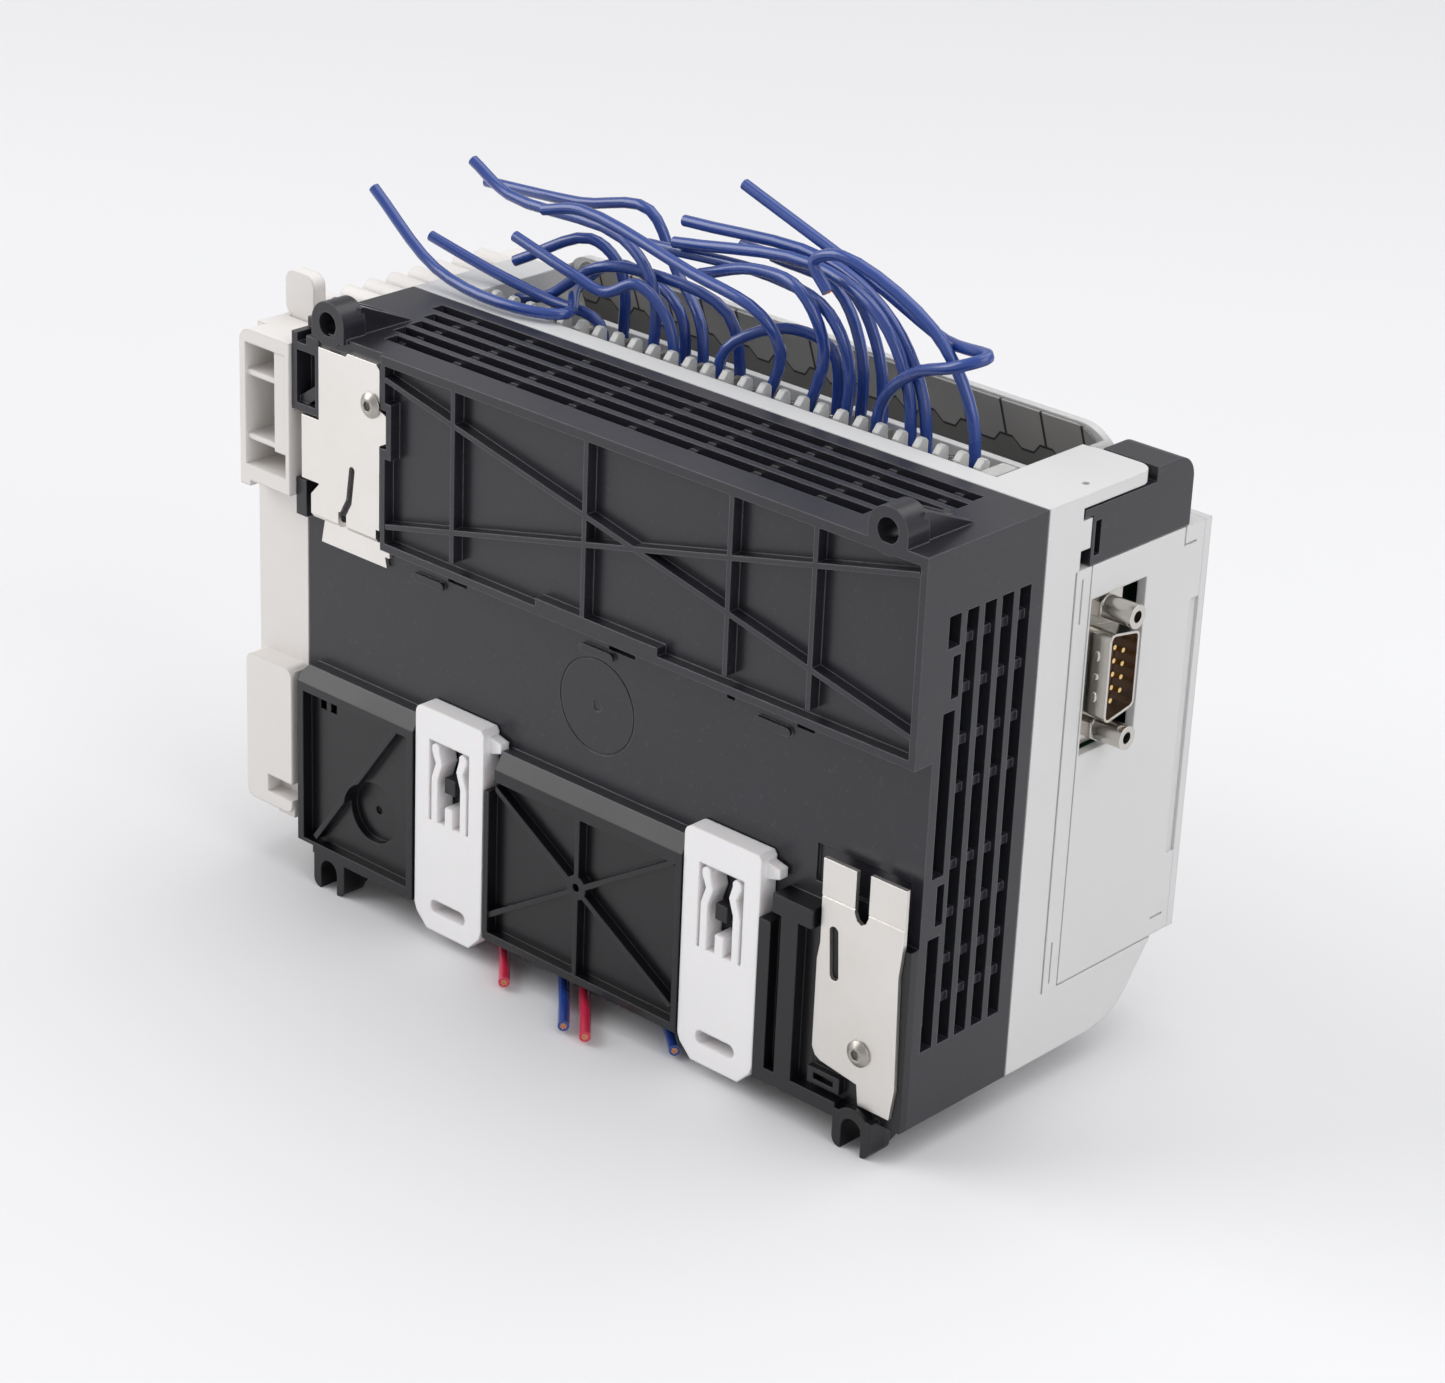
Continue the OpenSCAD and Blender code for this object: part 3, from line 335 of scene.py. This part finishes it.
def paintBlockShade(material, setup):
    # painted shade: the raised blocks below the rail, low on the rear face, are coloured darker than the
    # rest of the moulding, where less light reaches them
    tree = material.node_tree
    shader = tree.nodes["Principled BSDF"]
    split = addNode(tree, "ShaderNodeSeparateXYZ")
    tree.links.new(addNode(tree, "ShaderNodeTexCoord").outputs["Object"], split.inputs[0])
    low = mathNode(tree, "LESS_THAN", split.outputs["Z"], setup["top"])
    near = mathNode(tree, "LESS_THAN", split.outputs["Y"], setup["depth"])
    blockShade = mathNode(tree, "MULTIPLY", low, near)
    base = shader.inputs["Base Color"].links[0].from_socket
    # mix the painted shade colour into the base colour of the low blocks
    tree.links.new(mixColor(tree, blockShade, base, setup["color"]), shader.inputs["Base Color"])


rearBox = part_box("rear_housing")
finishes["housingPlastic"] = finishes["blackPlastic"].copy()
finishes["housingPlastic"].name = "housingPlastic"
# painted shade on the low raised blocks of the rear housing
paintBlockShade(finishes["housingPlastic"], {
    "top": rearBox[0][2] + 0.0494, "depth": rearBox[0][1] + 0.0046, "color": (0.004, 0.004, 0.0055)})
print("materials ready:", len(finishes))


# field wires, swept along the same points as in the part's source

strandSettings = {
    "count": 7,
    "radius": 0.00024,
    "depth": 0.0012,
    "ring": 0.00047,
    "sunk": 0.0005,
    "uneven": 0.00006,
    "soft": 0.00005,
}

wireSettings = {
    "diameter": 0.0024,
    "stepsPerSpan": 5,
    "upper": {
        "a": [(0.058, 0.007, 0.111), (0.057, 0.007, 0.13), (0.047, 0.006, 0.145),
              (0.026, 0.003, 0.155), (0.019, 0.003, 0.152), (0.023, 0.003, 0.147)],
        "b": [(0.046, 0.008, 0.111), (0.044, 0.008, 0.13), (0.034, 0.01, 0.142),
              (0.014, 0.013, 0.149), (-0.024, 0.013, 0.148)],
        "c": [(0.043, 0.006, 0.111), (0.042, 0.006, 0.131), (0.034, 0.006, 0.144),
              (0.014, 0.009, 0.149), (-0.022, 0.008, 0.145)],
        "d": [(0.035, 0.006, 0.111), (0.036, 0.005, 0.127), (0.046, 0.002, 0.137),
              (0.058, 0.0, 0.142), (0.062, 0.004, 0.144), (0.047, 0.01, 0.142),
              (0.024, 0.015, 0.147), (-0.011, 0.016, 0.158)],
        "e": [(0.028, 0.016, 0.111), (0.026, 0.016, 0.132), (0.017, 0.016, 0.144),
              (-0.012, 0.017, 0.145)],
        "f": [(0.021, 0.017, 0.111), (0.02, 0.018, 0.13), (0.011, 0.02, 0.141),
              (-0.007, 0.021, 0.143)],
        "g": [(0.024, 0.007, 0.111), (0.027, 0.006, 0.132), (0.022, 0.005, 0.142),
              (0.003, 0.009, 0.144), (-0.031, 0.01, 0.142)],
        "h": [(0.015, 0.006, 0.111), (0.015, 0.006, 0.115), (0.022, 0.004, 0.135),
              (0.017, 0.002, 0.146), (0.002, 0.005, 0.146), (-0.013, 0.006, 0.141)],
        "j": [(0.004, 0.006, 0.111), (0.004, 0.006, 0.115), (0.011, 0.004, 0.131),
              (0.008, 0.001, 0.139), (-0.011, 0.001, 0.143), (-0.042, 0.002, 0.148),
              (-0.052, 0.001, 0.146)],
        "k": [(-0.008, 0.007, 0.111), (-0.008, 0.007, 0.115), (-0.006, 0.007, 0.127),
              (0.005, 0.012, 0.133), (0.014, 0.016, 0.13), (0.016, 0.016, 0.115),
              (0.016, 0.016, 0.111)],
        "l": [(-0.009, 0.016, 0.111), (-0.012, 0.014, 0.131), (-0.033, 0.012, 0.135),
              (-0.044, 0.009, 0.134), (-0.057, 0.008, 0.125), (-0.066, 0.008, 0.122)],
        "m": [(-0.018, 0.006, 0.111), (-0.021, 0.006, 0.129), (-0.029, 0.005, 0.135),
              (-0.036, 0.003, 0.132), (-0.044, 0.002, 0.134), (-0.061, 0.002, 0.138)],
        "n": [(-0.027, 0.007, 0.111), (-0.028, 0.009, 0.133), (-0.039, 0.011, 0.141),
              (-0.073, 0.012, 0.142), (-0.084, 0.012, 0.147)],
        "o": [(-0.025, 0.016, 0.111), (-0.028, 0.017, 0.127), (-0.05, 0.02, 0.131),
              (-0.053, 0.013, 0.127), (-0.042, -0.002, 0.127), (-0.052, -0.007, 0.127),
              (-0.076, -0.006, 0.129), (-0.095, -0.006, 0.142)],
        "p": [(-0.039, 0.006, 0.111), (-0.041, 0.007, 0.123), (-0.055, 0.006, 0.125),
              (-0.07, 0.004, 0.128), (-0.086, 0.002, 0.132)],
        "q": [(-0.043, 0.016, 0.111), (-0.044, 0.016, 0.132), (-0.052, 0.015, 0.137),
              (-0.069, 0.01, 0.129)],
        "r": [(-0.02, 0.016, 0.111), (-0.023, 0.018, 0.125), (-0.034, 0.022, 0.133),
              (-0.042, 0.022, 0.144), (-0.062, 0.022, 0.141), (-0.09, 0.022, 0.139)],
    },
    "lower": {
        "a": [(-0.045, 0.007, 0.021), (-0.044, 0.006, 0.005), (-0.038, -0.018, 0.002),
              (-0.011, -0.047, 0.002)],
        "b": [(-0.03, 0.007, 0.021), (-0.029, 0.006, 0.005), (-0.022, -0.016, 0.002),
              (0.01, -0.051, 0.002)],
        "c": [(-0.02, 0.007, 0.021), (-0.019, 0.006, 0.005), (-0.012, -0.02, 0.002),
              (0.016, -0.051, 0.002)],
        "d": [(0.0, 0.007, 0.021), (0.0, 0.006, 0.005), (0.002, -0.014, 0.002),
              (0.004, -0.031, 0.002)],
        "e": [(0.01, 0.007, 0.021), (0.01, 0.006, 0.005), (0.013, -0.024, 0.002),
              (0.032, -0.042, 0.002)],
    },
}


def smoothPath(points, steps):
    # centripetal curve through every point of the route
    route = [Vector(p) for p in points]
    route = [route[0] * 2 - route[1], *route, route[-1] * 2 - route[-2]]
    path = []
    for a, b, c, d in zip(route, route[1:], route[2:], route[3:]):
        knots = [0.0]
        for p, q in ((a, b), (b, c), (c, d)):
            knots.append(knots[-1] + math.sqrt((q - p).length))
        for i in range(steps):
            t = knots[1] + (knots[2] - knots[1]) * i / steps
            ab = a.lerp(b, (t - knots[0]) / (knots[1] - knots[0]))
            bc = b.lerp(c, (t - knots[1]) / (knots[2] - knots[1]))
            cd = c.lerp(d, (t - knots[2]) / (knots[3] - knots[2]))
            near = ab.lerp(bc, (t - knots[0]) / (knots[2] - knots[0]))
            far = bc.lerp(cd, (t - knots[1]) / (knots[3] - knots[1]))
            path.append(near.lerp(far, (t - knots[1]) / (knots[2] - knots[1])))
    path.append(route[-2])
    return path


def makeStrandBundle(setup):
    # one copper strand in the middle and six round it, cut a little unevenly
    clearSelection()
    strands = []
    for i in range(setup["count"]):
        out = 0.0 if i == 0 else setup["ring"]
        angle = math.radians(60 * i)
        rise = -setup["sunk"] + setup["uneven"] * (i % 3)
        bpy.ops.mesh.primitive_cylinder_add(
            vertices=8, radius=setup["radius"], depth=setup["depth"],
            location=(out * math.cos(angle), out * math.sin(angle), rise),
        )
        strand = bpy.context.object
        bpy.ops.object.mode_set(mode="EDIT")
        bpy.ops.mesh.select_all(action="SELECT")
        bpy.ops.mesh.bevel(offset=setup["soft"], segments=1)
        bpy.ops.object.mode_set(mode="OBJECT")
        strands.append(strand)
    for strand in strands:
        strand.select_set(True)
    bpy.context.view_layer.objects.active = strands[0]
    bpy.ops.object.join()
    bpy.ops.object.transform_apply(location=True, rotation=True, scale=True)
    return bpy.context.object


def makeWire(name, points, finish, farEnd, bundle):
    path = smoothPath(points, wireSettings["stepsPerSpan"])
    curve = bpy.data.curves.new(name, "CURVE")
    curve.dimensions = "3D"
    curve.bevel_depth = wireSettings["diameter"] / 2
    curve.bevel_resolution = 4
    curve.use_fill_caps = True
    spline = curve.splines.new("POLY")
    spline.points.add(len(path) - 1)
    for point, place in zip(spline.points, path):
        point.co = (*place, 1)
    spline.use_smooth = True
    wire = bpy.data.objects.new(name, curve)
    bpy.context.collection.objects.link(wire)
    curve.materials.append(finishes[finish])
    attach(wire, "unit")
    if farEnd == "bare":
        tip = bundle.copy()
        tip.data = bundle.data.copy()
        tip.name = name + "Strands"
        bpy.context.collection.objects.link(tip)
        out = (path[-1] - path[-2]).normalized()
        turn = Vector((0, 0, 1)).rotation_difference(out).to_matrix().to_4x4()
        tip.data.transform(Matrix.Translation(path[-1]) @ turn)
        tip.data.materials.clear()
        tip.data.materials.append(finishes["copper"])
        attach(tip, "unit")
    return wire


bundle = makeStrandBundle(strandSettings)
for letter, points in wireSettings["upper"].items():
    farEnd = "object" if letter == "k" else "bare"
    wire = makeWire("upperWire" + letter.upper(), points, "blueInsulation", farEnd, bundle)
    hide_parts("wire_" + letter)
for letter, points in wireSettings["lower"].items():
    finish = "redInsulation" if letter in "ac" else "blueInsulation"
    wire = makeWire("lowerWire" + letter.upper(), points, finish, "bare", bundle)
    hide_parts("lower_wire_" + letter)
bpy.data.objects.remove(bundle)
print("wires laid")


# floor and light

studio = {
    "floor": (0.74, 0.74, 0.75),
    "floorPatch": (0.76, 0.76, 0.77),
    "floorSize": 8,
    "world": (0.96, 0.96, 0.98),
    "worldPower": 0.56,
    "lampAim": (0, 0, 0.06),
}


def makeStudio(setup):
    clearSelection()
    bpy.ops.mesh.primitive_plane_add(size=setup["floorSize"], location=(0, 0, 0))
    floor = bpy.context.object
    floor.name = "floor"
    material, tree, shader, where = newMaterial("floorPaper")
    shade = noise(tree, where, 3, 3)
    paper = mixColor(tree, shade, setup["floor"], setup["floorPatch"])
    tree.links.new(paper, shader.inputs["Base Color"])
    shader.inputs["Roughness"].default_value = 0.6
    floor.data.materials.append(material)
    bpy.context.scene.view_settings.view_transform = "Standard"
    world = bpy.data.worlds.new("studio")
    bpy.context.scene.world = world
    world.use_nodes = True
    sky = world.node_tree.nodes["Background"]
    sky.inputs["Color"].default_value = (*setup["world"], 1)
    sky.inputs["Strength"].default_value = setup["worldPower"]


lamps = [
    {"name": "overhead", "place": (0.3, 0.5, 1.6), "size": 1.8, "power": 16},
    {"name": "windowLeft", "place": (-1.5, -1.0, 1.2), "size": 1.5, "power": 23},
    {"name": "windowRight", "place": (1.6, -0.2, 0.9), "size": 1.2, "power": 9.5},
]


def makeLamps(setups, target):
    for lamp in setups:
        bpy.ops.object.light_add(type="AREA", location=lamp["place"])
        light = bpy.context.object
        light.name = lamp["name"]
        light.data.shape = "SQUARE"
        light.data.size = lamp["size"]
        light.data.energy = lamp["power"]
        aim = Vector(target) - Vector(lamp["place"])
        light.rotation_mode = "QUATERNION"
        light.rotation_quaternion = aim.to_track_quat("-Z", "Y")


makeStudio(studio)
makeLamps(lamps, studio["lampAim"])
print("studio ready")


# finishes of the parts that keep their own shape

partFinish = {
    "housingPlastic": ["rear_housing"],
    "blackPlastic": ["corner_cover", "relays", "bus_connector", "mode_switch", "service_port"],
    "lightPlastic": ["base_cover", "processor_housing", "processor_front", "access_door"],
    "doorPlastic": ["upper_door", "lower_door"],
    "warmPlastic": ["end_cap", "bus_lever"],
    "whitePlastic": ["left_latch", "right_latch"],
    "terminalPlastic": ["upper_terminals", "lower_terminals"],
    "nickel": ["clamp_plates", "terminal_screws", "port_shell", "port_jackscrews"],
    "plateSteel": ["left_ground_plate", "right_ground_plate"],
    "screwSteel": ["plate_screws"],
    "gold": ["port_pins"],
    "brownPlastic": ["port_insert"],
    "clearPlastic": ["terminal_guards"],
    "solderMask": ["power_board", "io_board", "processor_board"],
    "coreSteel": ["transformer"],
    "sleevePlastic": ["capacitors"],
    "bluePlastic": ["left_trim_pot", "right_trim_pot"],
}


def paint(node, material):
    part = nodes[node]
    if not part.material_slots:
        part.data.materials.append(material)
    for slot in part.material_slots:
        slot.material = material


for finish, names in partFinish.items():
    for name in names:
        paint(name, finishes[finish])


cellSettings = {
    "perMetre": 100,
    "sideWidth": 0.03,
    "middle": 0.066,
    "edge": 0.0485,
    "stepHeight": 0.0022,
    "stepStart": 0.3,
    "stepGain": 2.6,
    "lineWidth": 0.00028,
}


def makeCellGroup(setup):
    # outlines of one cell for each terminal, with a stepped line along the edge near the wires
    group, start, end = newGroup("printedCells", [("Vector", "NodeSocketVector", None)],
                                 [("Line", "NodeSocketFloat"), ("Upper", "NodeSocketFloat")])
    split = addNode(group, "ShaderNodeSeparateXYZ")
    group.links.new(start.outputs["Vector"], split.inputs[0])
    cell = mathNode(group, "MULTIPLY", split.outputs["X"], setup["perMetre"])
    across = mathNode(group, "FRACT", cell)
    middle = mathNode(group, "ABSOLUTE", mathNode(group, "SUBTRACT", across, 0.5))
    side = mathNode(group, "LESS_THAN", middle, setup["sideWidth"])
    halfCell = mathNode(group, "MULTIPLY", split.outputs["X"], setup["perMetre"] * 2)
    slope = mathNode(group, "SUBTRACT", mathNode(group, "PINGPONG", halfCell, 1), setup["stepStart"])
    step = mathNode(group, "MULTIPLY", slope, setup["stepGain"], True)
    fromMiddle = mathNode(group, "SUBTRACT", split.outputs["Z"], setup["middle"])
    height = mathNode(group, "ABSOLUTE", fromMiddle)
    rise = mathNode(group, "MULTIPLY", step, setup["stepHeight"])
    edge = mathNode(group, "ADD", rise, setup["edge"])
    low = mathNode(group, "ABSOLUTE", mathNode(group, "SUBTRACT", height, edge))
    wave = mathNode(group, "LESS_THAN", low, setup["lineWidth"])
    above = mathNode(group, "GREATER_THAN", height, edge)
    lines = mathNode(group, "MAXIMUM", mathNode(group, "MULTIPLY", side, above), wave)
    group.links.new(lines, end.inputs["Line"])
    group.links.new(above, end.inputs["Upper"])
    return group


def makeLabelCard():
    material, tree, shader, where = newMaterial("labelCard")
    surface = useSurface(tree, where, {"edge": 0.0001, "grain": 0.1, "scale": 3000})
    cells = addNode(tree, "ShaderNodeGroup", node_tree=makeCellGroup(cellSettings))
    tree.links.new(where, cells.inputs["Vector"])
    upper = mixColor(tree, surface["Smudge"], (0.30, 0.29, 0.275), (0.36, 0.35, 0.33))
    card = mixColor(tree, cells.outputs["Upper"], (0.17, 0.165, 0.155), upper)
    inked = mixColor(tree, cells.outputs["Line"], card, (0.012, 0.012, 0.012))
    tree.links.new(inked, shader.inputs["Base Color"])
    shader.inputs["Roughness"].default_value = 0.45
    tree.links.new(surface["Normal"], shader.inputs["Normal"])
    return material


finishes["labelCard"] = makeLabelCard()
for name in ("upper_label", "lower_label"):
    paint(name, finishes["labelCard"])
print("parts painted")


# small moulded details

smoothAngle = math.radians(35)


def pickFaces(piece, test):
    bpy.ops.mesh.select_mode(type="FACE")
    bpy.ops.mesh.select_all(action="DESELECT")
    shape = bmesh.from_edit_mesh(piece.data)
    for face in shape.faces:
        face.select = test(face)
    bmesh.update_edit_mesh(piece.data)


def finishPiece(piece, finish, body):
    bpy.ops.object.mode_set(mode="OBJECT")
    bpy.ops.object.shade_smooth_by_angle(angle=smoothAngle)
    bpy.ops.object.transform_apply(location=True, rotation=True, scale=True)
    piece.data.materials.append(finishes[finish])
    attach(piece, body)


def copyPiece(piece, name, offset, body):
    twin = piece.copy()
    twin.data = piece.data.copy()
    twin.name = name
    twin.data.transform(Matrix.Translation(offset))
    bpy.context.collection.objects.link(twin)
    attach(twin, body)


def makePanel(setup):
    # a thin panel on the front face with a rim round its sunk middle
    clearSelection()
    low, high = Vector(setup["low"]), Vector(setup["high"])
    bpy.ops.mesh.primitive_cube_add(size=1, location=(low + high) / 2, scale=high - low)
    panel = bpy.context.object
    panel.name = setup["name"]
    bpy.ops.object.transform_apply(location=True, rotation=True, scale=True)
    bpy.ops.object.mode_set(mode="EDIT")
    pickFaces(panel, lambda face: face.normal.y > 0.9)
    bpy.ops.mesh.inset(thickness=setup["rim"])
    bpy.ops.transform.translate(value=(0, -setup["sunk"], 0))
    bpy.ops.mesh.select_all(action="SELECT")
    bpy.ops.mesh.bevel(offset=setup["soft"], segments=2, affect="EDGES")
    finishPiece(panel, setup["finish"], setup["body"])


def makeLenses(setup):
    # one domed status lens, copied along the panel
    clearSelection()
    x, y, z = setup["first"]
    bpy.ops.mesh.primitive_cylinder_add(
        vertices=20, radius=setup["radius"], depth=setup["depth"], location=(x, y, z),
        rotation=(math.radians(-90), 0, 0),
    )
    lens = bpy.context.object
    lens.name = setup["name"] + "1"
    bpy.ops.object.transform_apply(location=True, rotation=True, scale=True)
    bpy.ops.object.mode_set(mode="EDIT")
    pickFaces(lens, lambda face: face.normal.y > 0.9)
    bpy.ops.mesh.inset(thickness=setup["radius"] * 0.35)
    bpy.ops.transform.translate(value=(0, setup["dome"], 0))
    finishPiece(lens, setup["finish"], "unit")
    for i in range(1, setup["count"]):
        copyPiece(lens, setup["name"] + str(i + 1), (0, 0, -setup["pitch"] * i), "unit")


def makeGrips(setup):
    # raised finger bars on a terminal door, copied up its slope
    clearSelection()
    bpy.ops.mesh.primitive_cube_add(
        size=1, location=setup["first"], scale=setup["size"], rotation=(setup["tilt"], 0, 0)
    )
    grip = bpy.context.object
    grip.name = setup["name"] + "1"
    bpy.ops.object.mode_set(mode="EDIT")
    bpy.ops.mesh.select_all(action="SELECT")
    bpy.ops.mesh.bevel(offset=setup["soft"], segments=2, affect="EDGES")
    finishPiece(grip, "lightPlastic", setup["body"])
    for i in range(1, setup["count"]):
        step = Vector(setup["step"]) * i
        copyPiece(grip, setup["name"] + str(i + 1), step, setup["body"])


def makeDimples(setup):
    # pressed dimples that grip a plug, along the port shell's side
    clearSelection()
    for i, tall in enumerate(setup["heights"]):
        bpy.ops.mesh.primitive_cylinder_add(
            vertices=20, radius=1, depth=1, rotation=(math.radians(90), 0, 0),
            location=(setup["x"], setup["y"], setup["z"] + (i - 1) * setup["pitch"]),
            scale=(setup["wide"], tall, setup["raised"]),
        )
        dimple = bpy.context.object
        dimple.name = "portDimple" + str(i + 1)
        bpy.ops.object.transform_apply(location=True, rotation=True, scale=True)
        bpy.ops.object.mode_set(mode="EDIT")
        pickFaces(dimple, lambda face: face.normal.y < -0.9)
        bpy.ops.mesh.inset(thickness=setup["wide"] * 0.3)
        bpy.ops.transform.translate(value=(0, -setup["dome"], 0))
        finishPiece(dimple, "nickel", "unit")


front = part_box("processor_front")
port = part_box("port_shell")
makePanel({
    "name": "statusPanel", "low": (front[0][0] + 0.009, front[1][1], front[0][2] + 0.048),
    "high": (front[0][0] + 0.036, front[1][1] + 0.00045, front[0][2] + 0.068), "rim": 0.0008,
    "sunk": 0.0002, "soft": 0.00008, "finish": "blackPlastic", "body": "unit", "slot": "black_plastic"})
makePanel({
    "name": "markerPlate", "low": (front[0][0] + 0.042, front[1][1], front[0][2] + 0.023),
    "high": (front[0][0] + 0.068, front[1][1] + 0.0004, front[0][2] + 0.031), "rim": 0.0006,
    "sunk": 0.00015, "soft": 0.00006, "finish": "whitePlastic", "body": "unit", "slot": "white_plastic"})
makeLenses({
    "name": "statusLens", "first": (front[0][0] + 0.0125, front[1][1] + 0.0002, front[0][2] + 0.0645),
    "radius": 0.0009, "depth": 0.0003, "dome": 0.00012, "finish": "clearPlastic", "count": 6,
    "pitch": 0.0026})
doorSlope = math.radians(19.1)
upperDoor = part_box("upper_door")
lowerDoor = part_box("lower_door")
makeGrips({
    "name": "upperGrip", "first": (0, upperDoor[1][1] - 0.0024, upperDoor[1][2] - 0.0095),
    "size": (0.03, 0.0006, 0.0008), "tilt": doorSlope, "soft": 0.0002, "body": "upper_door", "count": 3,
    "step": (0, -0.0007, 0.002)})
makeGrips({
    "name": "lowerGrip", "first": (0, lowerDoor[1][1] - 0.0024, lowerDoor[0][2] + 0.0095),
    "size": (0.03, 0.0006, 0.0008), "tilt": -doorSlope, "soft": 0.0002, "body": "lower_door", "count": 3,
    "step": (0, -0.0007, -0.002)})
makeDimples({
    "x": port[0][0] + 0.0038, "y": port[0][1] + 0.00135, "z": (port[0][2] + port[1][2]) / 2,
    "pitch": 0.0042, "heights": (0.0011, 0.0007, 0.0011), "wide": 0.0006, "raised": 0.0003,
    "dome": 0.00015})
print("details added")
